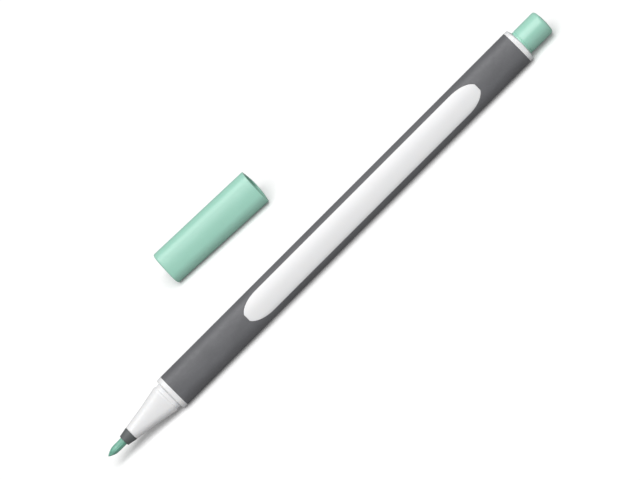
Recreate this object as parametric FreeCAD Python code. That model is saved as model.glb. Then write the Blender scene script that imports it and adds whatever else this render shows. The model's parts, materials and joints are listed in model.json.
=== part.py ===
"""Brush pen with its cap off: a triangular barrel in a soft grip sleeve, and the cap lying beside it.

Millimetres, +Z up. The pen lies along X on one of its three flats, brush tip towards -X.
The origin is the middle of the barrel's bottom flat. Stations along the pen are measured
from the brush tip and turned into X by pen_x().
"""
import FreeCAD, Part
import math
import os

os.makedirs("parts", exist_ok=True)
V = FreeCAD.Vector

# --- driving dimensions: stations behind the brush tip ---
PEN_LENGTH = 163.0
COLLAR_FRONT = 5.85
NOSE_FRONT = 8.65
BEAD_FRONT = 20.9
BARREL_FRONT = 23.15
SLEEVE_FRONT = 24.65
WINDOW_FRONT = 51.85
WINDOW_REAR = 137.9
SLEEVE_REAR = 152.8
BARREL_REAR = 154.35

# --- driving dimensions: the three-sided body ---
BODY_WIDTH = 10.2          # seen square on to a flat
FLAT_SHARE = 0.302         # straight part of a side, as a share of the width
SLEEVE_THICK = 0.45
WINDOW_WIDTH = 7.15
WINDOW_END_WIDTH = 2.1
WINDOW_TAPER = 6.6         # length of a window's rounded end
BARREL_BORE_R = 3.35
FRONT_CHAMFER = 0.25
REAR_FACE_R = 4.08         # the rear ring is turned down to a round end face
REAR_CONE_LONG = 0.5

# --- driving dimensions: nose, nib and ink ---
NOSE_FRONT_WIDTH = 4.2
NOSE_FRONT_FLAT = 0.2      # all but round there, and three-sided at the bead
NOSE_CURVE = ((0.39, 5.6), (0.66, 6.72), (0.83, 7.77))   # share of the cone's length, width
BEAD_WIDTH = 8.6
BEAD_LONG = 0.7
BEAD_CROWN = 0.1           # how much narrower the bead's edges are than its middle
BEAD_SLOPE = 0.25
LAND_WIDTH = 8.25
SPIGOT_LONG = 6.5
SPIGOT_BORE_R = 2.6
COLLAR_FRONT_R = 1.58
COLLAR_REAR_R = 2.1
COLLAR_EDGE = 0.12
COLLAR_TAIL_R = 1.75
COLLAR_TAIL_REAR = 20.0
COLLAR_MOUTH_R = 1.32
COLLAR_MOUTH_DEEP = 1.35
AIR_GROOVE = 0.3
AIR_GROOVE_START = 0.8     # behind the collar's seat
NIB_R = 1.0
BRUSH_R = 1.15
BRUSH_TAPER = 2.3          # pointed part; the rest of the free end is parallel
BRUSH_TAPER_POLES = ((0.59, 0.83), (0.16, 0.39))   # share of the taper's length, share of BRUSH_R
NIB_REAR = 35.0
RESERVOIR_FRONT = 31.0
RESERVOIR_REAR = 144.0
RESERVOIR_R = 3.1
FILM_THICK = 0.1
NIB_SOCKET_DEEP = 4.2

# --- driving dimensions: end plug ---
PLUG_R = 3.73
PLUG_EDGE = 0.9
PLUG_DOME = 0.25
PLUG_FRONT = 146.5
PLUG_WALL = 1.1
PLUG_LEAD_IN = 0.3

# --- driving dimensions: cap ---
CAP_LENGTH = 33.2
CAP_END_WIDTH = 10.25
CAP_MOUTH_WIDTH = 10.75
CAP_END_RADIUS = 0.5
CAP_END_WALL = 1.2
CAP_WALL = 0.95
CAP_GROOVE_AT = 1.9        # snap groove, from the mouth
CAP_GROOVE_LONG = 0.8
CAP_GROOVE_DEEP = 0.15
SEAL_R = 3.1
SEAL_BORE_R = 2.6
SEAL_LENGTH = 20.0
SEAL_FLOOR = 0.6
CAP_YAW = 5.5              # the mouth turns towards -Y
CAP_CENTRE_STATION = 61.5
CAP_CENTRE_Y = 48.3

# --- modelling ---
OVERSHOOT = 1.0            # how far a cutting shape runs past the face that it opens
CROWN_STEPS = 5            # facets round the cap's closed end

# --- derived ---
FLAT_LENGTH = FLAT_SHARE * BODY_WIDTH
BODY_MIDDLE = (BARREL_FRONT + BARREL_REAR) / 2


def inradius(width, flat):
    """Distance from the axis to a flat, for a section of this width and straight side."""
    return (width - flat) / 2 + flat / (2 * math.sqrt(3))


AXIS_Z = inradius(BODY_WIDTH, FLAT_LENGTH)


def pen_x(station):
    """X in the pen's own frame of a station measured from the brush tip."""
    return station - BODY_MIDDLE


def on_pen_axis(shape):
    """Lift a shape built round the X axis to the height of the pen's axis."""
    moved = shape.copy()
    moved.translate(V(0, 0, AXIS_Z))
    return moved


def triangle_wire(x, width, flat):
    """Three-sided section with round corners, square to X; one flat faces down."""
    corner_r = (width - flat) / 2
    centre_r = flat / math.sqrt(3)
    edges = []
    ends = []
    for corner in range(3):
        middle = math.radians(90 + 120 * corner)
        centre = V(x, centre_r * math.cos(middle), centre_r * math.sin(middle))
        points = []
        for turn in (-60, 0, 60):
            angle = middle + math.radians(turn)
            points.append(centre + V(0, corner_r * math.cos(angle), corner_r * math.sin(angle)))
        edges.append(Part.Arc(*points).toShape())
        ends.append((points[0], points[2]))
    sides = [Part.makeLine(ends[k][1], ends[(k + 1) % 3][0]) for k in range(3)]
    ordered = [edge for pair in zip(edges, sides) for edge in pair]
    return Part.Wire(ordered)


def prism(x0, x1, width, flat=FLAT_LENGTH):
    """Three-sided bar from x0 to x1."""
    return Part.Face(triangle_wire(x0, width, flat)).extrude(V(x1 - x0, 0, 0))


def loft(sections, ruled=False):
    """Solid through (x, width, flat) sections."""
    return Part.makeLoft([triangle_wire(*section) for section in sections], True, ruled)


def rod(x0, x1, radius):
    """Round bar along X."""
    return Part.makeCylinder(radius, x1 - x0, V(x0, 0, 0), V(1, 0, 0))


def turned(outline):
    """Solid turned round the X axis from a closed outline of edges in the XZ plane."""
    return Part.Face(Part.Wire(outline)).revolve(V(0, 0, 0), V(1, 0, 0), 360)


def polygon_edges(points):
    """Straight edges through the points, open at the end."""
    vectors = [V(x, 0, r) for x, r in points]
    return [Part.makeLine(a, b) for a, b in zip(vectors, vectors[1:])]


def dome_edge(top_x, drop, rim_r):
    """Shallow arc from a rim to the X axis at top_x, centred on the axis."""
    sphere_r = (rim_r ** 2 + drop ** 2) / (2 * drop)
    half_angle = math.asin(rim_r / sphere_r) / 2
    middle = V(top_x - sphere_r * (1 - math.cos(half_angle)), 0, sphere_r * math.sin(half_angle))
    return Part.Arc(V(top_x - drop, 0, rim_r), middle, V(top_x, 0, 0)).toShape()


def window_prism(x0, x1):
    """Long window with half-oval ends cut short, from the axis down through the bottom flat."""
    half = WINDOW_WIDTH / 2
    end_half = WINDOW_END_WIDTH / 2
    end_angle = math.asin(end_half / half)
    semi_long = WINDOW_TAPER / math.cos(end_angle)
    front, rear = x0 + WINDOW_TAPER, x1 - WINDOW_TAPER

    def oval(x, start, stop):
        return Part.ArcOfEllipse(Part.Ellipse(V(x, 0, 0), semi_long, half), start, stop).toShape()

    wire = Part.Wire([
        oval(rear, end_angle, math.pi / 2),
        Part.makeLine(V(rear, half, 0), V(front, half, 0)),
        oval(front, math.pi / 2, math.pi - end_angle),
        Part.makeLine(V(x0, end_half, 0), V(x0, -end_half, 0)),
        oval(front, math.pi + end_angle, 1.5 * math.pi),
        Part.makeLine(V(front, -half, 0), V(rear, -half, 0)),
        oval(rear, 1.5 * math.pi, 2 * math.pi - end_angle),
        Part.makeLine(V(x1, -end_half, 0), V(x1, end_half, 0)),
    ])
    return Part.Face(wire).extrude(V(0, 0, -AXIS_Z - OVERSHOOT))


def windows():
    """The window on each of the three flats."""
    first = window_prism(pen_x(WINDOW_FRONT), pen_x(WINDOW_REAR))
    turned_copies = []
    for turn in (0, 120, 240):
        copy = first.copy()
        copy.rotate(V(0, 0, 0), V(1, 0, 0), turn)
        turned_copies.append(copy)
    return turned_copies


def sleeve_shell():
    """The layer between the barrel's core and the outside, between the two end rings."""
    x0, x1 = pen_x(SLEEVE_FRONT), pen_x(SLEEVE_REAR)
    return prism(x0, x1, BODY_WIDTH).cut(prism(x0, x1, BODY_WIDTH - 2 * SLEEVE_THICK))


def make_barrel():
    """White barrel: core tube, two end rings and a raised panel on each flat."""
    front, rear = pen_x(BARREL_FRONT), pen_x(BARREL_REAR)
    sleeve_x0, sleeve_x1 = pen_x(SLEEVE_FRONT), pen_x(SLEEVE_REAR)
    core = prism(front + FRONT_CHAMFER, sleeve_x1, BODY_WIDTH - 2 * SLEEVE_THICK)
    front_edge = loft([(front, BODY_WIDTH - 2 * FRONT_CHAMFER, FLAT_LENGTH),
                       (front + FRONT_CHAMFER, BODY_WIDTH, FLAT_LENGTH)], ruled=True)
    front_ring = prism(front + FRONT_CHAMFER, sleeve_x0, BODY_WIDTH)
    corner_r = BODY_WIDTH / 2 + FLAT_LENGTH * (1 / math.sqrt(3) - 0.5)
    cone_x = rear - REAR_CONE_LONG
    cone = Part.makeCone(corner_r, REAR_FACE_R, REAR_CONE_LONG, V(cone_x, 0, 0), V(1, 0, 0))
    rear_ring = prism(sleeve_x1, rear, BODY_WIDTH).common(cone.fuse(rod(sleeve_x1, cone_x, corner_r)))
    panels = [sleeve_shell().common(window) for window in windows()]
    body = core.fuse([front_edge, front_ring, rear_ring] + panels).removeSplitter()
    return on_pen_axis(body.cut(rod(front - OVERSHOOT, rear + OVERSHOOT, BARREL_BORE_R)))


def make_grip_sleeve():
    """Soft sleeve moulded over the barrel, with a window on each flat."""
    return on_pen_axis(sleeve_shell().cut(windows()))


def nose_flat(share):
    """Straight part of the nose's sides at a share of its cone's length."""
    return NOSE_FRONT_FLAT + (FLAT_LENGTH - NOSE_FRONT_FLAT) * share


def make_nose():
    """Flared nose: round at the nib, three-sided at the cap's snap bead, with a press spigot."""
    front, bead, end = pen_x(NOSE_FRONT), pen_x(BEAD_FRONT), pen_x(BARREL_FRONT)
    length = bead - front
    bead_edge = BEAD_WIDTH - BEAD_CROWN
    shares = ((0.0, NOSE_FRONT_WIDTH),) + NOSE_CURVE + ((1.0, bead_edge),)
    cone = loft([(front + share * length, width, nose_flat(share)) for share, width in shares])
    bead_end = bead + BEAD_LONG
    snap_bead = loft([(bead, bead_edge, FLAT_LENGTH), (bead + BEAD_LONG / 2, BEAD_WIDTH, FLAT_LENGTH),
                      (bead_end, bead_edge, FLAT_LENGTH)])
    land_front = bead_end + BEAD_SLOPE
    back_slope = loft([(bead_end, bead_edge, FLAT_LENGTH),
                       (land_front, LAND_WIDTH, FLAT_LENGTH)], ruled=True)
    land = prism(land_front, end, LAND_WIDTH)
    spigot = rod(end, end + SPIGOT_LONG, BARREL_BORE_R)
    body = cone.fuse([snap_bead, back_slope, land, spigot]).removeSplitter()
    collar_seat = rod(front - OVERSHOOT, pen_x(COLLAR_TAIL_REAR), COLLAR_TAIL_R)
    spigot_bore = rod(pen_x(COLLAR_TAIL_REAR), end + SPIGOT_LONG + OVERSHOOT, SPIGOT_BORE_R)
    return on_pen_axis(body.cut([collar_seat, spigot_bore]))


def make_nib_collar():
    """Dark nib holder: a short cone in sight, and a tail with air grooves inside the nose."""
    front, seat, rear = pen_x(COLLAR_FRONT), pen_x(NOSE_FRONT), pen_x(COLLAR_TAIL_REAR)
    outline = polygon_edges([(front, 0), (front, COLLAR_FRONT_R - COLLAR_EDGE),
                             (front + COLLAR_EDGE, COLLAR_FRONT_R), (seat, COLLAR_REAR_R),
                             (seat, COLLAR_TAIL_R), (rear, COLLAR_TAIL_R), (rear, 0), (front, 0)])
    body = turned(outline)
    nib_bore = rod(front - OVERSHOOT, rear + OVERSHOOT, NIB_R)
    mouth = rod(front - OVERSHOOT, front + COLLAR_MOUTH_DEEP, COLLAR_MOUTH_R)
    holes = [nib_bore, mouth]
    for turn in (0, 120, 240):
        groove = Part.makeBox(rear - seat, AIR_GROOVE, AIR_GROOVE,
                              V(seat + AIR_GROOVE_START, -AIR_GROOVE / 2, COLLAR_TAIL_R - AIR_GROOVE))
        groove.rotate(V(0, 0, 0), V(1, 0, 0), turn)
        holes.append(groove)
    return on_pen_axis(body.cut(holes))


def make_nib_stem():
    """Rear part of the fibre nib, held in the collar and reaching into the ink reservoir."""
    front = pen_x(COLLAR_FRONT) + COLLAR_MOUTH_DEEP
    return on_pen_axis(rod(front, pen_x(NIB_REAR), NIB_R))


def make_brush_tip():
    """Free end of the nib: ball root in the collar's mouth, parallel base, pointed ogive."""
    root, tip = pen_x(COLLAR_FRONT), pen_x(0)
    shoulder = tip + BRUSH_TAPER
    quarter = math.sqrt(0.5) * BRUSH_R
    ball = Part.Arc(V(root, 0, BRUSH_R), V(root + quarter, 0, quarter), V(root + BRUSH_R, 0, 0)).toShape()
    inner_poles = [V(tip + along * BRUSH_TAPER, 0, out * BRUSH_R) for along, out in BRUSH_TAPER_POLES]
    ogive = Part.BezierCurve()
    ogive.setPoles([V(shoulder, 0, BRUSH_R)] + inner_poles + [V(tip, 0, 0)])
    base = Part.makeLine(V(root, 0, BRUSH_R), V(shoulder, 0, BRUSH_R))
    axis = Part.makeLine(V(tip, 0, 0), V(root + BRUSH_R, 0, 0))
    return on_pen_axis(turned(Part.__sortEdges__([ball, base, ogive.toShape(), axis])))


def make_ink_reservoir():
    """Fibre rod that stores the ink, with a socket for the nib's rear end."""
    front = pen_x(RESERVOIR_FRONT)
    body = rod(front, pen_x(RESERVOIR_REAR), RESERVOIR_R)
    return on_pen_axis(body.cut(rod(front - OVERSHOOT, front + NIB_SOCKET_DEEP, NIB_R)))


def make_reservoir_film():
    """Thin film tube wrapped round the fibre rod."""
    x0, x1 = pen_x(RESERVOIR_FRONT), pen_x(RESERVOIR_REAR)
    inside = rod(x0 - OVERSHOOT, x1 + OVERSHOOT, RESERVOIR_R)
    return on_pen_axis(rod(x0, x1, RESERVOIR_R + FILM_THICK).cut(inside))


def make_end_plug():
    """Rear plug: a hollow spigot pressed in the barrel, and the round stub that the cap posts on."""
    front, seat, rear = pen_x(PLUG_FRONT), pen_x(BARREL_REAR), pen_x(PEN_LENGTH)
    edge_x = rear - PLUG_DOME - PLUG_EDGE
    outline = polygon_edges([(front, 0), (front, BARREL_BORE_R - PLUG_LEAD_IN),
                             (front + PLUG_LEAD_IN, BARREL_BORE_R), (seat, BARREL_BORE_R),
                             (seat, PLUG_R), (edge_x, PLUG_R)])
    knee = PLUG_EDGE * (1 - math.sqrt(0.5))
    round_edge = Part.Arc(V(edge_x, 0, PLUG_R), V(rear - PLUG_DOME - knee, 0, PLUG_R - knee),
                          V(rear - PLUG_DOME, 0, PLUG_R - PLUG_EDGE)).toShape()
    dome = dome_edge(rear, PLUG_DOME, PLUG_R - PLUG_EDGE)
    axis = Part.makeLine(V(rear, 0, 0), V(front, 0, 0))
    body = turned(outline + [round_edge, dome, axis])
    return on_pen_axis(body.cut(rod(front - OVERSHOOT, rear - 2 * PLUG_WALL, BARREL_BORE_R - PLUG_WALL)))


def cap_width(along):
    """Outside width of the cap at a distance from its closed end."""
    return CAP_END_WIDTH + (CAP_MOUTH_WIDTH - CAP_END_WIDTH) * along / CAP_LENGTH


def cap_loft(x0, x1, inset, ruled=True):
    """Tapered three-sided bar, inset from the cap's outside."""
    sections = []
    for x in (x0, x1):
        width = cap_width(x)
        sections.append((x, width - 2 * inset, FLAT_SHARE * width))
    return loft(sections, ruled)


def lay_cap(shape):
    """Turn a cap piece from its own axis to where it lies, on one flat with its mouth turned out."""
    low = inradius(cap_width(0), FLAT_SHARE * cap_width(0))
    high = inradius(cap_width(CAP_LENGTH), FLAT_SHARE * cap_width(CAP_LENGTH))
    pitch = math.degrees(math.atan2(high - low, CAP_LENGTH))
    laid = shape.copy()
    laid.rotate(V(0, 0, -low), V(0, -1, 0), pitch)
    laid.translate(V(-CAP_LENGTH / 2, 0, low))
    laid.rotate(V(0, 0, 0), V(0, 0, 1), -CAP_YAW)
    laid.translate(V(pen_x(CAP_CENTRE_STATION), CAP_CENTRE_Y, 0))
    return laid


def make_cap_shell():
    """Open-mouthed cap: tapered three-sided cup with a rounded closed end and a snap groove."""
    outside = cap_loft(CAP_END_RADIUS, CAP_LENGTH, 0)
    crown = []
    for k in range(CROWN_STEPS + 1):
        angle = math.radians(90 * k / CROWN_STEPS)
        x = CAP_END_RADIUS * (1 - math.cos(angle))
        inset = CAP_END_RADIUS * (1 - math.sin(angle))
        crown.append((x, cap_width(x) - 2 * inset, FLAT_SHARE * cap_width(x)))
    body = outside.fuse(loft(crown, ruled=True))
    cavity = cap_loft(CAP_END_WALL, CAP_LENGTH + OVERSHOOT, CAP_WALL)
    groove_x = CAP_LENGTH - CAP_GROOVE_AT - CAP_GROOVE_LONG / 2
    groove = cap_loft(groove_x, groove_x + CAP_GROOVE_LONG, CAP_WALL - CAP_GROOVE_DEEP)
    return lay_cap(body.cut([cavity, groove]))


def make_cap_inner_seal():
    """Soft liner tube standing on the cap's closed end, that seals round the nose."""
    x0, x1 = CAP_END_WALL, CAP_END_WALL + SEAL_LENGTH
    return lay_cap(rod(x0, x1, SEAL_R).cut(rod(x0 + SEAL_FLOOR, x1 + OVERSHOOT, SEAL_BORE_R)))


PIECES = {
    "barrel": make_barrel,
    "grip_sleeve": make_grip_sleeve,
    "nose_section": make_nose,
    "nib_collar": make_nib_collar,
    "nib_stem": make_nib_stem,
    "brush_tip": make_brush_tip,
    "ink_reservoir": make_ink_reservoir,
    "reservoir_film": make_reservoir_film,
    "end_plug": make_end_plug,
    "cap_shell": make_cap_shell,
    "cap_inner_seal": make_cap_inner_seal,
}

for node, make in PIECES.items():
    shape = make()
    shape.exportStep(f"parts/{node}.step")
    print(f"{node:16s} solids {len(shape.Solids)} valid {shape.isValid()} volume {shape.Volume:9.3f}")
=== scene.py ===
"""Looks of a three-sided brush pen with its cap lying beside it. Metres, in the CAD model's frame."""
import json
import math

import bpy
from mathutils import Matrix, Vector, noise

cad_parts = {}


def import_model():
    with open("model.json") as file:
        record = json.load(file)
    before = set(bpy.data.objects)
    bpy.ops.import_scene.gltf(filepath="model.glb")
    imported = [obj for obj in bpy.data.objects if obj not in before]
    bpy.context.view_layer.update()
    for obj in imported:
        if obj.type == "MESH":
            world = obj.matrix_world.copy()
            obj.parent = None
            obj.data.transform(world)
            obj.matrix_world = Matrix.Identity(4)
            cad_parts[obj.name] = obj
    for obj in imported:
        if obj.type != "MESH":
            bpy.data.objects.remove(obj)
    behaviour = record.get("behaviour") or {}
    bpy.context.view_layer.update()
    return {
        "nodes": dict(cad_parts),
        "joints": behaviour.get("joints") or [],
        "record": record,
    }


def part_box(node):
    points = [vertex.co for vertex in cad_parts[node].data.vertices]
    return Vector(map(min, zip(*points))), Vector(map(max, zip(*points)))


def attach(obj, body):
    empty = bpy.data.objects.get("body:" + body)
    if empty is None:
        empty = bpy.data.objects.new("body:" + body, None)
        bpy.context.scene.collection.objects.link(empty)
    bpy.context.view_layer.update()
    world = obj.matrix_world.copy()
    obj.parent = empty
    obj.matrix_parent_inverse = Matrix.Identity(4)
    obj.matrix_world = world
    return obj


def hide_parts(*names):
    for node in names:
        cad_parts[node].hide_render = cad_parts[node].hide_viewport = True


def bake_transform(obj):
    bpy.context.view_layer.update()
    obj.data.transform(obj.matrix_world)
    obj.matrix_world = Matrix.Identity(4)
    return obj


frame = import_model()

MM = 0.001

# --- places read from the frame ---
MOUNTS = {mount["name"]: mount for mount in frame["record"]["mounts"]}
JOINTS = {joint["name"]: joint for joint in frame["joints"]}
AXIS_Z = MOUNTS["rear_plug"]["pos_m"][2]
PLUG_R = MOUNTS["rear_plug"]["dims"]["r_mm"] * MM
BARREL_LOW, BARREL_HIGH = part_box("barrel")
SLEEVE_LOW, SLEEVE_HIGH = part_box("grip_sleeve")
NOSE_LOW, NOSE_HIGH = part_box("nose_section")
COLLAR_LOW, COLLAR_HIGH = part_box("nib_collar")
BRUSH_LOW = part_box("brush_tip")[0]
STEM_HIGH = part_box("nib_stem")[1]
PLUG_LOW, PLUG_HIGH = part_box("end_plug")
CAP_LOW, CAP_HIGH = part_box("cap_shell")
CAP_MIDDLE = (CAP_LOW + CAP_HIGH) / 2
BRUSH_ROOT_X = JOINTS["brush_flex"]["pos_m"][0]

# --- three-sided body ---
BODY_WIDTH = 10.2 * MM
FLAT_SHARE = 0.302
FLAT_LENGTH = FLAT_SHARE * BODY_WIDTH
SLEEVE_THICK = 0.45 * MM
CROWN = math.radians(8.0)          # how far a side's edges lean away from its middle
CORNER_STEPS = 12
SIDE_STEPS = 4

# --- window panels ---
WINDOW_FRONT = 27.2 * MM         # behind the sleeve's front edge
WINDOW_REAR = 14.9 * MM          # ahead of the sleeve's rear edge
WINDOW_HALF = 3.575 * MM
WINDOW_END_HALF = 1.05 * MM
WINDOW_TAPER = 6.6 * MM
WINDOW_END_ANGLE = math.asin(WINDOW_END_HALF / WINDOW_HALF)    # where the end cuts its half oval
WINDOW_GAP = 0.025 * MM
EDGE_ROUND = 0.07 * MM

# --- barrel rings ---
RING_CHAMFER = 0.25 * MM
RING_ROUND = 0.08 * MM
RING_STEP_IN = 1.0 * MM            # how much narrower the front face starts than its chamfer
REAR_FACE_R = 4.08 * MM
REAR_CONE_LONG = 0.5 * MM
BORE_R = 3.35 * MM

# --- nose and collar ---
NOSE_FRONT_WIDTH = 4.2 * MM
NOSE_FRONT_FLAT = 0.2 * MM                # all but round there
NOSE_FRONT_BREAK = 0.24 * MM              # how much the front edge is drawn in
NOSE_FLARE = (3.5 * MM, 0.8 * MM, 2.5)    # linear growth, late growth and its power
BEAD_X = 2.25 * MM                        # ahead of the barrel's front face
BEAD_WIDTH = 8.6 * MM
BEAD_LONG = 0.7 * MM
BEAD_RISE = 0.2 * MM
BEAD_FALL = 0.3 * MM
VALLEY_WIDTH = 8.15 * MM
RIM_WIDTH = 8.3 * MM
RIM_AT = 0.7 * MM                         # ahead of the barrel's front face
COLLAR_FRONT_R = 1.58 * MM
COLLAR_REAR_R = 2.1 * MM
COLLAR_TAIL_R = 1.75 * MM
COLLAR_MOUTH_R = 1.32 * MM
COLLAR_MOUTH_DEEP = 1.35 * MM
NIB_R = 1.0 * MM

# --- brush ---
BRUSH_R = 1.15 * MM
BRUSH_TAPER = 2.3 * MM
BRUSH_GROWTH = 0.75
BRUSH_SHOULDER = 8                # higher is a tighter bend into the straight part
BRUSH_RINGS = 60
BRUSH_STRANDS = 26
STRAND_DEEP = 0.028 * MM
STRAND_START = 0.8 * MM            # behind the tip, where the strands are at full depth

# --- plug ---
PLUG_WALL = 1.1 * MM
PLUG_EDGE = 0.9 * MM
PLUG_DOME = 0.25 * MM
PLUG_GROOVE_AT = 0.45 * MM
PLUG_GROOVE = 0.15 * MM

# --- cap ---
CAP_LENGTH = 33.2 * MM
CAP_END_WIDTH = 10.25 * MM
CAP_MOUTH_WIDTH = 10.75 * MM
CAP_END_ROUND = 0.5 * MM
CAP_WALL = 0.95 * MM
CAP_END_WALL = 1.2 * MM
CAP_LIP_ROUND = 0.18 * MM
CAP_GROOVE_AT = 1.9 * MM          # ahead of the mouth
CAP_GROOVE_LONG = 0.9 * MM
CAP_GROOVE_DEEP = 0.15 * MM
CAP_YAW = math.radians(5.5)
SEAL_R = 3.1 * MM
SEAL_BORE_R = 2.6 * MM
SEAL_LENGTH = 20.0 * MM

# --- camera ---
CAMERA_AWAY = 1.6
CAMERA_ELEVATION = math.radians(30)
CAMERA_ROLL = math.radians(45)
FRAME_WIDTH = 169.2 * MM          # what the picture's width spans at the pen
SENSOR = 36.0
AIM_BEHIND_TIP = 80.03 * MM
AIM_ABOVE_AXIS = 0.895 * MM

# --- light ---
KEY_ELEVATION = math.radians(67.5)
KEY_STRENGTH = 2.75
KEY_SPAN = math.radians(62)
SKY_LIGHT = 0.2
FLOOR_BOUNCE = 0.42
FLOOR_LIFT = 0.15                 # keeps the pale floor pale under its soft shadows


# ---------------------------------------------------------------- sections

class Section:
    """Three-sided section: gently crowned sides that run into round corners.

    Width is seen square on to a side. The middle of each side stays where the straight side of the
    given flat length would be."""

    def __init__(self, width, flat):
        bend = math.sin(CROWN)
        share = (1 - 1 / math.sqrt(3)) / 2
        apart = share * flat / (2 * share * bend - (1 - math.cos(CROWN)))
        self.corner_across = apart * bend
        self.corner_out = self.corner_across / math.sqrt(3)
        self.corner_r = width / 2 - self.corner_across
        self.side_r = self.corner_r + apart
        self.side_back = apart * math.cos(CROWN) - self.corner_out
        self.side_arc = self.side_r * CROWN

    def reach(self):
        """Half a side, measured round the surface."""
        return self.side_arc + self.corner_r * (math.pi / 3 - CROWN)

    def along(self, across):
        """Distance round the surface to a point that is seen at this distance across."""
        if across <= self.side_r * math.sin(CROWN):
            return self.side_r * math.asin(across / self.side_r)
        angle = math.asin((across - self.corner_across) / self.corner_r)
        return self.side_arc + self.corner_r * (angle - CROWN)

    def point(self, s, depth=0.0):
        """Point (across, out) at a distance s round the surface from the middle of a side."""
        size = abs(s)
        if size <= self.side_arc:
            angle = size / self.side_r
            across = (self.side_r - depth) * math.sin(angle)
            out = (self.side_r - depth) * math.cos(angle) - self.side_back
        else:
            angle = CROWN + (size - self.side_arc) / self.corner_r
            across = self.corner_across + (self.corner_r - depth) * math.sin(angle)
            out = self.corner_out + (self.corner_r - depth) * math.cos(angle)
        return math.copysign(across, s), out


def triangle_section(width, flat):
    """Points (y, z) round a three-sided section, from the middle of its bottom side."""
    section = Section(width, flat)
    steps = [section.side_arc * k / SIDE_STEPS for k in range(SIDE_STEPS)]
    corner = section.reach() - section.side_arc
    steps += [section.side_arc + corner * k / CORNER_STEPS for k in range(CORNER_STEPS + 1)]
    half_side = [section.point(s) for s in steps]
    side = [(-across, out) for across, out in reversed(half_side[1:])] + half_side[:-1]
    points = []
    for corner_turn in range(3):
        turn = Matrix.Rotation(math.radians(120 * corner_turn), 2)
        points += [turn @ Vector((across, -out)) for across, out in side]
    return points


REFERENCE_ANGLES = [math.atan2(p.y, p.x) for p in triangle_section(BODY_WIDTH, FLAT_LENGTH)]


def round_section(radius):
    """Circle whose points stand in the same directions as the three-sided section's."""
    return [Vector((radius * math.cos(a), radius * math.sin(a))) for a in REFERENCE_ANGLES]


def triangle_ring(x, width, flat=FLAT_LENGTH):
    """Three-sided ring of points at a station."""
    return [Vector((x, p.x, p.y)) for p in triangle_section(width, flat)]


def round_ring(x, radius):
    """Round ring of points at a station."""
    return [Vector((x, p.x, p.y)) for p in round_section(radius)]


def softened(corners, steps=4):
    """Profile (x, r) through the corners, each (x, r, rounding), with its corners rounded by arcs."""
    points = []
    last = len(corners) - 1
    for k, (x, r, rounding) in enumerate(corners):
        here = Vector((x, r))
        if k in (0, last) or rounding == 0:
            points.append(here)
            continue
        before = Vector(corners[k - 1][:2]) - here
        after = Vector(corners[k + 1][:2]) - here
        reach = min(rounding, before.length * 0.45, after.length * 0.45)
        start = here + before.normalized() * reach
        end = here + after.normalized() * reach
        for step in range(steps + 1):
            t = step / steps
            points.append(start * (1 - t) ** 2 + here * 2 * t * (1 - t) + end * t ** 2)
    return points


# ---------------------------------------------------------------- meshes

def new_object(name, vertices, faces, material):
    """Smooth-shaded object with one material."""
    mesh = bpy.data.meshes.new(name)
    mesh.from_pydata(vertices, [], faces)
    mesh.validate()
    mesh.polygons.foreach_set("use_smooth", [True] * len(mesh.polygons))
    mesh.materials.append(material)
    piece = bpy.data.objects.new(name, mesh)
    bpy.context.scene.collection.objects.link(piece)
    return piece


def weighted(piece):
    """Normals that follow the large faces, so that flats stay flat beside rounded edges."""
    modifier = piece.modifiers.new("weighted_normals", "WEIGHTED_NORMAL")
    modifier.weight = 80
    return piece


def bevelled(piece, width, segments=2):
    """Sharp edges rounded to a width."""
    modifier = piece.modifiers.new("edge_round", "BEVEL")
    modifier.limit_method = "ANGLE"
    modifier.angle_limit = math.radians(45)
    modifier.width = width
    modifier.segments = segments
    return weighted(piece)


def skin(name, rings, material, closed_start=False, closed_end=False, loop=False, place=None):
    """Piece through rings of equal point counts; its ends can meet on a point or join up."""
    count = len(rings[0])
    vertices = [point for ring in rings for point in ring]
    faces = []
    spans = len(rings) if loop else len(rings) - 1
    for k in range(spans):
        low, high = k * count, ((k + 1) % len(rings)) * count
        for j in range(count):
            nxt = (j + 1) % count
            faces.append((low + j, low + nxt, high + nxt, high + j))
    for closed, ring, flip in ((closed_start, 0, True), (closed_end, len(rings) - 1, False)):
        if not closed:
            continue
        centre = sum(rings[ring], Vector()) / count
        vertices.append(centre)
        hub = len(vertices) - 1
        low = ring * count
        for j in range(count):
            nxt = (j + 1) % count
            triangle = (hub, low + j, low + nxt)
            faces.append(triangle[::-1] if flip else triangle)
    place = place or (lambda p: p + Vector((0, 0, AXIS_Z)))
    return new_object(name, [place(v) for v in vertices], faces, material)


BODY = Section(BODY_WIDTH, FLAT_LENGTH)


def surface_point(x, turn, s, depth):
    """Point on a side of the body: s runs across it from its middle, depth goes inwards."""
    across, out = BODY.point(s, depth)
    turned = Matrix.Rotation(turn, 2) @ Vector((across, -out))
    return Vector((x, turned.x, turned.y + AXIS_Z))


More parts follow.
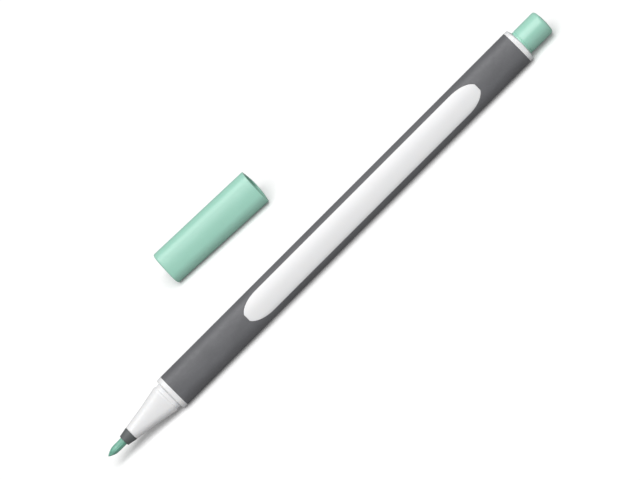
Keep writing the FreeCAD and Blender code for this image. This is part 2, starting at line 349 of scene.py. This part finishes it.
def grid_shell(name, rows, turns, keep, depth, material, wrap):
    """Closed shell over a grid of (x, s) rows; turns gives each column's side of the body."""
    columns = len(rows[0])
    numbers = {}
    vertices = []
    faces = []

    def number(i, j, layer):
        key = (i, j % columns, layer)
        if key not in numbers:
            x, s = rows[i][j % columns]
            numbers[key] = len(vertices)
            vertices.append(surface_point(x, turns[j % columns], s, depth if layer else 0.0))
        return numbers[key]

    spans = columns if wrap else columns - 1

    def kept(i, j):
        inside = 0 <= i < len(rows) - 1 and (wrap or 0 <= j < spans)
        return inside and keep(i, j % columns)

    for i in range(len(rows) - 1):
        for j in range(spans):
            if not kept(i, j):
                continue
            corners = ((i, j), (i, j + 1), (i + 1, j + 1), (i + 1, j))
            faces.append([number(*c, 0) for c in corners])
            faces.append([number(*c, 1) for c in reversed(corners)])
            sides = (((i - 1, j), 0, 1), ((i, j + 1), 1, 2), ((i + 1, j), 2, 3), ((i, j - 1), 3, 0))
            for neighbour, a, b in sides:
                if not kept(*neighbour):
                    faces.append([number(*corners[b], 0), number(*corners[a], 0),
                                  number(*corners[a], 1), number(*corners[b], 1)])
    return new_object(name, vertices, faces, material)


# ---------------------------------------------------------------- materials

def new_material(name):
    """Material with its node tree and its main shader."""
    material = bpy.data.materials.new(name)
    material.use_nodes = True
    tree = material.node_tree
    return material, tree, tree.nodes["Principled BSDF"]


def add(tree, kind, **values):
    """New node with its properties or input sockets set by name."""
    node = tree.nodes.new(kind)
    for key, value in values.items():
        if hasattr(node, key):
            setattr(node, key, value)
        else:
            node.inputs[key.replace("_", " ")].default_value = value
    return node


def object_noise(tree, scale, stretch=(1, 1, 1), detail=3.0, roughness=0.5):
    """Noise in object space, stretched along its axes; gives the noise node."""
    coords = add(tree, "ShaderNodeTexCoord")
    mapping = add(tree, "ShaderNodeMapping")
    mapping.inputs["Scale"].default_value = stretch
    texture = add(tree, "ShaderNodeTexNoise", Scale=scale, Detail=detail, Roughness=roughness)
    tree.links.new(coords.outputs["Object"], mapping.inputs["Vector"])
    tree.links.new(mapping.outputs["Vector"], texture.inputs["Vector"])
    return texture


def ramp(tree, source, low, high, from_low=0.35, from_high=0.65):
    """Colour or grey ramp over a source value."""
    node = add(tree, "ShaderNodeValToRGB")
    node.color_ramp.elements[0].position = from_low
    node.color_ramp.elements[1].position = from_high
    node.color_ramp.elements[0].color = low
    node.color_ramp.elements[1].color = high
    tree.links.new(source, node.inputs["Fac"])
    return node


def grey(value):
    """Grey as a colour."""
    return (value, value, value, 1.0)


def shade(colour, factor):
    """Colour made lighter or darker."""
    return tuple(min(1.0, c * factor) for c in colour) + (1.0,)


def bump_chain(tree, shader, layers):
    """Bumps laid over each other: (height output, distance in metres, strength)."""
    normal = None
    for height, distance, strength in layers:
        bump = add(tree, "ShaderNodeBump", Distance=distance, Strength=strength)
        tree.links.new(height, bump.inputs["Height"])
        if normal:
            tree.links.new(normal, bump.inputs["Normal"])
        normal = bump.outputs["Normal"]
    tree.links.new(normal, shader.inputs["Normal"])


def moulded_plastic(name, colour, rough, subsurface=0.0, variation=0.02, specular=0.5):
    """Injection-moulded plastic: faint drifts of tone and gloss, and a very fine moulded skin."""
    material, tree, shader = new_material(name)
    drift = object_noise(tree, 90, stretch=(0.5, 1, 1), detail=2)
    darker, lighter = shade(colour, 1 - variation), shade(colour, 1 + variation)
    tint = ramp(tree, drift.outputs["Fac"], darker, lighter, 0.2, 0.8)
    tree.links.new(tint.outputs["Color"], shader.inputs["Base Color"])
    gloss = object_noise(tree, 420, detail=2)
    gloss_ramp = ramp(tree, gloss.outputs["Fac"], grey(rough * 0.92), grey(rough * 1.08), 0.2, 0.8)
    tree.links.new(gloss_ramp.outputs["Color"], shader.inputs["Roughness"])
    moulded_skin = object_noise(tree, 6500, detail=1)
    bump_chain(tree, shader, [(moulded_skin.outputs["Fac"], 0.004 * MM, 0.25)])
    shader.inputs["Specular IOR Level"].default_value = specular
    shader.inputs["Subsurface Weight"].default_value = subsurface
    shader.inputs["Subsurface Radius"].default_value = (1.0, 0.9, 0.8)
    shader.inputs["Subsurface Scale"].default_value = 0.5 * MM
    return material


def soft_touch(name, colour):
    """Soft-touch coating: matt, finely pebbled, with a faint bloom at grazing angles."""
    material, tree, shader = new_material(name)
    mottle = object_noise(tree, 260, stretch=(0.5, 1, 1), detail=5)
    tint = ramp(tree, mottle.outputs["Fac"], shade(colour, 0.93), shade(colour, 1.07))
    speck = object_noise(tree, 3800, detail=2)
    speck_ramp = ramp(tree, speck.outputs["Fac"], grey(0.92), grey(1.0), 0.3, 0.7)
    mix = add(tree, "ShaderNodeMix", data_type="RGBA", blend_type="MULTIPLY")
    mix.inputs["Factor"].default_value = 1.0
    tree.links.new(tint.outputs["Color"], mix.inputs["A"])
    tree.links.new(speck_ramp.outputs["Color"], mix.inputs["B"])
    tree.links.new(mix.outputs["Result"], shader.inputs["Base Color"])
    rough = object_noise(tree, 1200, detail=4)
    rough_ramp = ramp(tree, rough.outputs["Fac"], grey(0.46), grey(0.56))
    tree.links.new(rough_ramp.outputs["Color"], shader.inputs["Roughness"])
    pebble = add(tree, "ShaderNodeTexVoronoi", Scale=5200.0)
    coords = add(tree, "ShaderNodeTexCoord")
    tree.links.new(coords.outputs["Object"], pebble.inputs["Vector"])
    wave = object_noise(tree, 300, stretch=(0.3, 1, 1))
    bump_chain(tree, shader, [(pebble.outputs["Distance"], 0.02 * MM, 0.25),
                              (wave.outputs["Fac"], 0.015 * MM, 0.3)])
    shader.inputs["Sheen Weight"].default_value = 0.12
    shader.inputs["Sheen Roughness"].default_value = 0.45
    shader.inputs["Specular IOR Level"].default_value = 0.5
    return material


def ink_fibre(name, colour, streak_scale=2600.0):
    """Bundled fibres along X, soaked with ink: streaks of tone and fine ridges."""
    material, tree, shader = new_material(name)
    streaks = object_noise(tree, streak_scale, stretch=(0.06, 1, 1), detail=4, roughness=0.6)
    tint = ramp(tree, streaks.outputs["Fac"], shade(colour, 0.72), shade(colour, 1.28), 0.3, 0.7)
    tree.links.new(tint.outputs["Color"], shader.inputs["Base Color"])
    fine = object_noise(tree, streak_scale * 2.2, stretch=(0.05, 1, 1), detail=3)
    bump_chain(tree, shader, [(streaks.outputs["Fac"], 0.04 * MM, 0.6),
                              (fine.outputs["Fac"], 0.02 * MM, 0.5)])
    shader.inputs["Roughness"].default_value = 0.32
    shader.inputs["Sheen Weight"].default_value = 0.1
    shader.inputs["Sheen Roughness"].default_value = 0.5
    shader.inputs["Subsurface Weight"].default_value = 0.25
    shader.inputs["Subsurface Radius"].default_value = (0.7, 1.0, 0.85)
    shader.inputs["Subsurface Scale"].default_value = 0.4 * MM
    return material


def film(name, colour):
    """Thin translucent film with faint wrinkles."""
    material, tree, shader = new_material(name)
    cloud = object_noise(tree, 220, stretch=(0.2, 1, 1))
    tint = ramp(tree, cloud.outputs["Fac"], shade(colour, 0.92), shade(colour, 1.06))
    tree.links.new(tint.outputs["Color"], shader.inputs["Base Color"])
    bump_chain(tree, shader, [(cloud.outputs["Fac"], 0.03 * MM, 0.4)])
    shader.inputs["Roughness"].default_value = 0.25
    shader.inputs["Transmission Weight"].default_value = 0.4
    return material


MINT = (0.375, 0.700, 0.570)
WHITE = (0.86, 0.86, 0.865)
GRIP = (0.1375, 0.1395, 0.1485)
COLLAR = (0.122, 0.132, 0.134)
INK = (0.185, 0.450, 0.345)

MATERIALS = {
    "white_plastic": moulded_plastic("white_plastic", WHITE, 0.25, subsurface=0.15, variation=0.006),
    "soft_grip": soft_touch("soft_grip", GRIP),
    "dark_plastic": moulded_plastic("dark_plastic", COLLAR, 0.48, variation=0.05, specular=0.35),
    "mint_plastic": moulded_plastic("mint_plastic", MINT, 0.3, subsurface=0.12, variation=0.02,
                                    specular=0.65),
    "seal_plastic": moulded_plastic("seal_plastic", tuple(c * 0.8 for c in MINT), 0.5, variation=0.05),
    "ink_fibre": ink_fibre("ink_fibre", INK),
    "reservoir_fibre": ink_fibre("reservoir_fibre", MINT, 1300.0),
    "clear_film": film("clear_film", (0.82, 0.86, 0.85)),
}


# ---------------------------------------------------------------- body

def window_half(x):
    """Half-width of a window across a side, measured round the surface; 0 outside the window."""
    front, rear = SLEEVE_LOW.x + WINDOW_FRONT, SLEEVE_HIGH.x - WINDOW_REAR
    if x < front - 1e-9 or x > rear + 1e-9:
        return 0.0
    semi_long = WINDOW_TAPER / math.cos(WINDOW_END_ANGLE)
    beyond = max(0.0, front + WINDOW_TAPER - x, x - (rear - WINDOW_TAPER))
    seen = WINDOW_HALF * math.sqrt(max(0.0, 1 - (beyond / semi_long) ** 2))
    return BODY.along(seen)


def spread(start, end, count):
    """count + 1 even steps from start to end."""
    return [start + (end - start) * k / count for k in range(count + 1)]


def oval_stations(end_x, centre_x, count):
    """Stations from a window's end to its oval's centre, closer together at the end."""
    semi_long = (centre_x - end_x) / math.cos(WINDOW_END_ANGLE)
    angles = spread(WINDOW_END_ANGLE, math.pi / 2, count)
    return [centre_x - semi_long * math.cos(a) for a in angles]


def window_stations(inset=0.0):
    """Stations along a window, closer together at its ends."""
    front, rear = SLEEVE_LOW.x + WINDOW_FRONT, SLEEVE_HIGH.x - WINDOW_REAR
    first = oval_stations(front, front + WINDOW_TAPER, 22)
    last = oval_stations(rear, rear - WINDOW_TAPER, 22)[::-1]
    middle = spread(front + WINDOW_TAPER, rear - WINDOW_TAPER, 30)[1:-1]
    stations = first + middle + last
    stations[0] += inset
    stations[-1] -= inset
    return stations


SIDE_REACH = BODY.reach()
INNER_STEPS = 7
OUTER_STEPS = 10


def side_columns(half):
    """Positions across a whole side, with the window's edges among them."""
    inner = spread(-half, half, 2 * INNER_STEPS)
    return spread(-SIDE_REACH, -half, OUTER_STEPS)[:-1] + inner + spread(half, SIDE_REACH, OUTER_STEPS)[1:]


def grip_sleeve():
    """Dark soft sleeve with three windows."""
    front, rear = SLEEVE_LOW.x, SLEEVE_HIGH.x
    inside = window_stations()
    ahead = spread(front, inside[0], 10)[:-1]
    behind = spread(inside[-1], rear, 6)[1:]
    end_half = window_half(inside[0])
    rows = []
    for x in ahead + inside + behind:
        half = window_half(x) or end_half
        one_side = side_columns(half)[:-1]
        rows.append([(x, s) for _ in range(3) for s in one_side])
    per_side = len(rows[0]) // 3
    turns = [math.radians(120 * (j // per_side)) for j in range(len(rows[0]))]
    window_rows = range(len(ahead), len(ahead) + len(inside) - 1)
    window_columns = range(OUTER_STEPS, OUTER_STEPS + 2 * INNER_STEPS)

    def keep(i, j):
        return not (i in window_rows and j % per_side in window_columns)

    sleeve = grid_shell("grip_sleeve_soft", rows, turns, keep, SLEEVE_THICK, MATERIALS["soft_grip"], True)
    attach(bevelled(sleeve, EDGE_ROUND), "pen")
    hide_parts("grip_sleeve")


def window_panels():
    """The barrel's raised white panel in each window."""
    for side in range(3):
        rows = []
        for x in window_stations(WINDOW_GAP):
            half = window_half(x) - WINDOW_GAP
            rows.append([(x, s) for s in spread(-half, half, 4 * INNER_STEPS)])
        turns = [math.radians(120 * side)] * len(rows[0])
        panel = grid_shell(f"window_panel_{side + 1}", rows, turns, lambda i, j: True,
                           SLEEVE_THICK, MATERIALS["white_plastic"], False)
        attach(bevelled(panel, EDGE_ROUND), "pen")
        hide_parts("barrel")


def barrel():
    """White barrel tube with its front and rear rings, hollow for the reservoir."""
    front, rear = BARREL_LOW.x, BARREL_HIGH.x
    core = BODY_WIDTH - 2 * SLEEVE_THICK
    full, chamfer = BODY_WIDTH, 2 * RING_CHAMFER
    ring_end, core_end = SLEEVE_LOW.x, SLEEVE_HIGH.x
    profile = softened([
        (front, full - chamfer - RING_STEP_IN, 0),
        (front, full - chamfer, RING_ROUND), (front + RING_CHAMFER, full, RING_ROUND),
        (ring_end, full, RING_ROUND),
        (ring_end, core, 0), (core_end, core, 0), (core_end, full, RING_ROUND),
        (rear - REAR_CONE_LONG, full, 0)])
    rings = [round_ring(front, BORE_R)]
    rings += [triangle_ring(p.x, p.y) for p in profile]
    body = triangle_section(full, FLAT_LENGTH)
    corner_r = max(p.length for p in body)
    for share in (0.25, 0.5, 0.75, 1.0):
        limit = corner_r + (REAR_FACE_R - corner_r) * share
        x = rear - REAR_CONE_LONG * (1 - share)
        rings.append([Vector((x, p.x, p.y)) if p.length <= limit
                      else Vector((x, p.x / p.length * limit, p.y / p.length * limit)) for p in body])
    rings.append(round_ring(rear, BORE_R))
    piece = skin("barrel_moulding", rings, MATERIALS["white_plastic"], loop=True)
    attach(weighted(piece), "pen")
    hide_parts("barrel")


def nose():
    """Flared nose: round at the front, three-sided at the snap bead."""
    front, shoulder, rear = NOSE_LOW.x, BARREL_LOW.x, NOSE_HIGH.x
    bead = shoulder - BEAD_X
    growth, late, power = NOSE_FLARE
    rings = [round_ring(front, COLLAR_TAIL_R)]
    for share in [0.0, 0.012] + spread(0.03, 1.0, 40):
        width = NOSE_FRONT_WIDTH + growth * share + late * share ** power
        if share == 0.0:
            width -= NOSE_FRONT_BREAK
        flat = NOSE_FRONT_FLAT + (FLAT_LENGTH - NOSE_FRONT_FLAT) * share
        rings.append(triangle_ring(front + share * (bead - front), width, flat))
    bead_end = bead + BEAD_LONG
    low_width = NOSE_FRONT_WIDTH + growth + late
    profile = softened([
        (bead, low_width, 0), (bead + BEAD_RISE, BEAD_WIDTH, 0.15 * MM), (bead_end, BEAD_WIDTH, 0.2 * MM),
        (bead_end + BEAD_FALL, VALLEY_WIDTH, 0.15 * MM),
        (shoulder - RIM_AT, VALLEY_WIDTH, 0.08 * MM), (shoulder - RIM_AT + 0.15 * MM, RIM_WIDTH, 0.08 * MM),
        (shoulder, RIM_WIDTH, 0)])
    rings += [triangle_ring(p.x, p.y) for p in profile[1:]]
    rings += [round_ring(shoulder, BORE_R), round_ring(rear, BORE_R), round_ring(rear, COLLAR_TAIL_R)]
    piece = skin("nose_flare", rings, MATERIALS["white_plastic"], loop=True)
    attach(weighted(piece), "pen")
    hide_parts("nose_section")


def nib_collar():
    """Dark nib holder with a rounded front edge and an open mouth."""
    front, seat, rear = COLLAR_LOW.x, NOSE_LOW.x, COLLAR_HIGH.x
    profile = softened([
        (rear, NIB_R, 0), (front + COLLAR_MOUTH_DEEP, NIB_R, 0),
        (front + COLLAR_MOUTH_DEEP, COLLAR_MOUTH_R, 0),
        (front, COLLAR_MOUTH_R, 0.08 * MM), (front, COLLAR_FRONT_R, 0.12 * MM),
        (seat - 0.06 * MM, COLLAR_REAR_R, 0.08 * MM), (seat - 0.02 * MM, COLLAR_TAIL_R, 0),
        (rear, COLLAR_TAIL_R, 0)])
    rings = [round_ring(p.x, p.y) for p in profile]
    piece = skin("nib_holder", rings, MATERIALS["dark_plastic"], loop=True)
    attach(weighted(piece), "pen")
    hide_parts("nib_collar")


def brush_radius(away):
    """Radius of the brush at a distance behind its tip: a power curve that levels off smoothly."""
    grown = (away / BRUSH_TAPER) ** BRUSH_GROWTH
    return BRUSH_R * grown / (1 + grown ** BRUSH_SHOULDER) ** (1 / BRUSH_SHOULDER)


def brush():
    """The fibre nib in one piece: pointed brush in front, stem in the collar and reservoir behind."""
    tip, root, rear = BRUSH_LOW.x, BRUSH_ROOT_X, STEM_HIGH.x
    around = BRUSH_STRANDS * 6
    reach = root - tip + 0.6 * MM
    stations = [reach * (k / BRUSH_RINGS) ** 2 for k in range(3, BRUSH_RINGS + 1)]
    rings = []
    for away in stations:
        base = brush_radius(away)
        ridges = STRAND_DEEP * min(1.0, away / STRAND_START)
        ring = []
        for j in range(around):
            angle = 2 * math.pi * j / around
            strand = abs(math.sin(angle * BRUSH_STRANDS / 2))
            sway = noise.noise(Vector((math.cos(angle) * 3, math.sin(angle) * 3, away / MM * 0.25)))
            radius = base + ridges * (strand - 0.7) + base * 0.03 * sway
            ring.append(Vector((tip + away, radius * math.cos(angle), radius * math.sin(angle))))
        rings.append(ring)
    for x in (root + 1.0 * MM, rear):
        angles = [2 * math.pi * j / around for j in range(around)]
        rings.append([Vector((x, NIB_R * math.cos(a), NIB_R * math.sin(a))) for a in angles])
    piece = skin("fibre_nib", rings, MATERIALS["ink_fibre"], closed_start=True, closed_end=True)
    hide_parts("brush_tip", "nib_stem")
    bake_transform(piece)


def end_plug():
    """Mint plug: round stub with a fine groove, a rounded edge and a shallow dome."""
    front, seat, rear = PLUG_LOW.x, BARREL_HIGH.x, PLUG_HIGH.x
    groove = seat + PLUG_GROOVE_AT
    fine = 0.03 * MM
    inside = BORE_R - PLUG_WALL
    spigot = BORE_R - 0.01 * MM
    deep = PLUG_R - PLUG_GROOVE
    corners = [
        (rear - 2 * PLUG_WALL, inside, 0), (front, inside, 0),
        (front, BORE_R - 0.2 * MM, fine), (front + 0.4 * MM, spigot, fine),
        (seat, spigot, 0), (seat, PLUG_R, fine), (groove, PLUG_R, fine),
        (groove + PLUG_GROOVE * 0.5, deep, fine), (groove + PLUG_GROOVE * 1.5, deep, fine),
        (groove + PLUG_GROOVE * 2, PLUG_R, fine), (rear - PLUG_DOME - PLUG_EDGE, PLUG_R, 0)]
    profile = softened(corners)
    edge_centre = Vector((rear - PLUG_DOME - PLUG_EDGE, PLUG_R - PLUG_EDGE))
    for step in range(1, 9):
        angle = math.radians(90 * step / 8)
        profile.append(edge_centre + PLUG_EDGE * Vector((math.sin(angle), math.cos(angle))))
    rim = PLUG_R - PLUG_EDGE
    for share in (0.8, 0.6, 0.4, 0.2, 0.05):
        profile.append(Vector((rear - PLUG_DOME * share ** 2, rim * share)))
    rings = [round_ring(p.x, p.y) for p in profile]
    piece = skin("plug_stub", rings, MATERIALS["mint_plastic"], closed_start=True, closed_end=True)
    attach(weighted(piece), "pen")
    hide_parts("end_plug")


# ---------------------------------------------------------------- cap

def cap_width(along):
    """Width of the cap at a distance from its closed end."""
    return CAP_END_WIDTH + (CAP_MOUTH_WIDTH - CAP_END_WIDTH) * along / CAP_LENGTH


def half_height(width):
    """From the axis to the middle of a side."""
    return Section(width, FLAT_SHARE * width).point(0)[1]


def lay_cap(point):
    """From the cap's own axis to where it lies: on one flat, with its mouth turned out."""
    low, high = half_height(cap_width(0)), half_height(cap_width(CAP_LENGTH))
    pitch = math.atan2(high - low, CAP_LENGTH)
    laid = Matrix.Rotation(-pitch, 3, "Y") @ (point + Vector((0, 0, low)))
    laid.x -= CAP_LENGTH / 2
    laid = Matrix.Rotation(-CAP_YAW, 3, "Z") @ laid
    return laid + Vector((CAP_MIDDLE.x, CAP_MIDDLE.y, 0))


def cap_ring(x, inset):
    """Ring of points round the cap, set in from its outer face."""
    width = cap_width(x)
    return triangle_ring(x, width - 2 * inset, FLAT_SHARE * width)


def shrunk(ring, share):
    """The same ring drawn in towards the axis."""
    return [Vector((p.x, p.y * share, p.z * share)) for p in ring]


def cap_shell():
    """Mint cap: rounded closed end, tapered outside, rolled lip and hollow inside."""
    end_rim = cap_ring(0, CAP_END_ROUND)
    rings = [shrunk(end_rim, share) for share in (0.1, 0.4, 0.7, 0.93)]
    for angle in spread(0, math.pi / 2, 7):
        sunk = CAP_END_ROUND * (1 - math.sin(angle))
        rings.append(cap_ring(CAP_END_ROUND * (1 - math.cos(angle)), sunk))
    lip = CAP_LENGTH - CAP_LIP_ROUND
    rings += [cap_ring(x, 0) for x in spread(CAP_END_ROUND, lip, 24)[1:]]
    for angle in spread(0, math.pi / 2, 5)[1:]:
        sunk = CAP_LIP_ROUND * (1 - math.cos(angle))
        rings.append(cap_ring(lip + CAP_LIP_ROUND * math.sin(angle), sunk))
    for angle in spread(math.pi / 2, 0, 5):
        sunk = CAP_WALL - CAP_LIP_ROUND * (1 - math.cos(angle))
        rings.append(cap_ring(lip + CAP_LIP_ROUND * math.sin(angle), sunk))
    groove = CAP_LENGTH - CAP_GROOVE_AT
    edge = CAP_GROOVE_LONG / 2
    floor_edge = edge * 0.75
    for along, deep in ((edge, 0), (floor_edge, CAP_GROOVE_DEEP), (-floor_edge, CAP_GROOVE_DEEP),
                        (-edge, 0)):
        rings.append(cap_ring(groove + along, CAP_WALL - deep))
    rings += [cap_ring(x, CAP_WALL) for x in spread(groove - CAP_GROOVE_LONG, CAP_END_WALL, 16)]
    rings += [shrunk(rings[-1], share) for share in (0.7, 0.3)]
    piece = skin("cap_cup", rings, MATERIALS["mint_plastic"], closed_start=True, closed_end=True,
                 place=lay_cap)
    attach(weighted(piece), "cap")
    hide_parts("cap_shell")


def cap_liner():
    """Liner tube standing in the cap."""
    x0, x1 = CAP_END_WALL, CAP_END_WALL + SEAL_LENGTH
    profile = softened([
        (x0 + 0.02 * MM, SEAL_R, 0), (x1, SEAL_R, 0.15 * MM), (x1, SEAL_BORE_R, 0.15 * MM),
        (x0 + 0.6 * MM, SEAL_BORE_R, 0), (x0 + 0.6 * MM, 0.1 * MM, 0), (x0 + 0.02 * MM, 0.1 * MM, 0)])
    rings = [round_ring(p.x, p.y) for p in profile]
    piece = skin("cap_liner_tube", rings, MATERIALS["seal_plastic"], loop=True, place=lay_cap)
    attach(weighted(piece), "cap")
    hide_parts("cap_inner_seal")


# ---------------------------------------------------------------- stage

def camera():
    """Camera square on to the pen's upper front side, rolled so that the pen runs up to the right."""
    back = Vector((0, -math.cos(CAMERA_ELEVATION), math.sin(CAMERA_ELEVATION)))
    along = Vector((1, 0, 0))
    across = back.cross(along)
    aim = Vector((BRUSH_LOW.x + AIM_BEHIND_TIP, 0, AXIS_Z)) + across * AIM_ABOVE_AXIS
    right = along * math.cos(CAMERA_ROLL) - across * math.sin(CAMERA_ROLL)
    up = along * math.sin(CAMERA_ROLL) + across * math.cos(CAMERA_ROLL)
    data = bpy.data.cameras.new("camera")
    data.sensor_width = SENSOR
    data.lens = SENSOR * CAMERA_AWAY / FRAME_WIDTH
    data.clip_start = 0.05
    data.clip_end = 50
    cam = bpy.data.objects.new("camera", data)
    cam.matrix_world = Matrix.Translation(aim + back * CAMERA_AWAY) @ Matrix(
        (right, up, back)).transposed().to_4x4()
    bpy.context.scene.collection.objects.link(cam)
    bpy.context.scene.camera = cam


def softbox():
    """Broad, even, soft light from above and in front."""
    data = bpy.data.lights.new("key", "SUN")
    data.energy = KEY_STRENGTH
    data.angle = KEY_SPAN
    light = bpy.data.objects.new("key", data)
    light.rotation_euler = (math.pi / 2 - KEY_ELEVATION, 0, 0)
    bpy.context.scene.collection.objects.link(light)


def for_camera(tree):
    """1 for what is seen directly, 0 for the light that it throws back onto the object."""
    return add(tree, "ShaderNodeLightPath").outputs["Is Camera Ray"]


def floor():
    """Plain pale floor, big enough to fill every view; it throws only soft light back up."""
    half = 30.0
    material, tree, shader = new_material("pale_floor")
    tone = ramp(tree, for_camera(tree), grey(FLOOR_BOUNCE), grey(0.9), 0.0, 1.0)
    tree.links.new(tone.outputs["Color"], shader.inputs["Base Color"])
    lift = ramp(tree, for_camera(tree), grey(0.0), grey(FLOOR_LIFT), 0.0, 1.0)
    tree.links.new(lift.outputs["Color"], shader.inputs["Emission Color"])
    shader.inputs["Emission Strength"].default_value = 1.0
    shader.inputs["Roughness"].default_value = 0.9
    shader.inputs["Specular IOR Level"].default_value = 0.0
    corners = [(-half, -half, 0), (half, -half, 0), (half, half, 0), (-half, half, 0)]
    new_object("floor", corners, [(0, 1, 2, 3)], material)


def world():
    """Even pale surroundings, as bright as the floor where they show behind it."""
    scene_world = bpy.data.worlds.new("studio")
    scene_world.use_nodes = True
    tree = scene_world.node_tree
    background = tree.nodes["Background"]
    tone = ramp(tree, for_camera(tree), grey(SKY_LIGHT), grey(1.0), 0.0, 1.0)
    tree.links.new(tone.outputs["Color"], background.inputs["Color"])
    bpy.context.scene.world = scene_world


def dress_hidden_nodes():
    """The sealed inner pieces keep their CAD shapes and get their own materials."""
    for node, slot in (("ink_reservoir", "reservoir_fibre"), ("reservoir_film", "clear_film")):
        mesh = frame["nodes"][node].data
        mesh.materials.clear()
        mesh.materials.append(MATERIALS[slot])


grip_sleeve()
window_panels()
barrel()
nose()
nib_collar()
brush()
end_plug()
cap_shell()
cap_liner()
dress_hidden_nodes()
floor()
world()
softbox()
camera()
bpy.context.scene.view_settings.view_transform = "Standard"
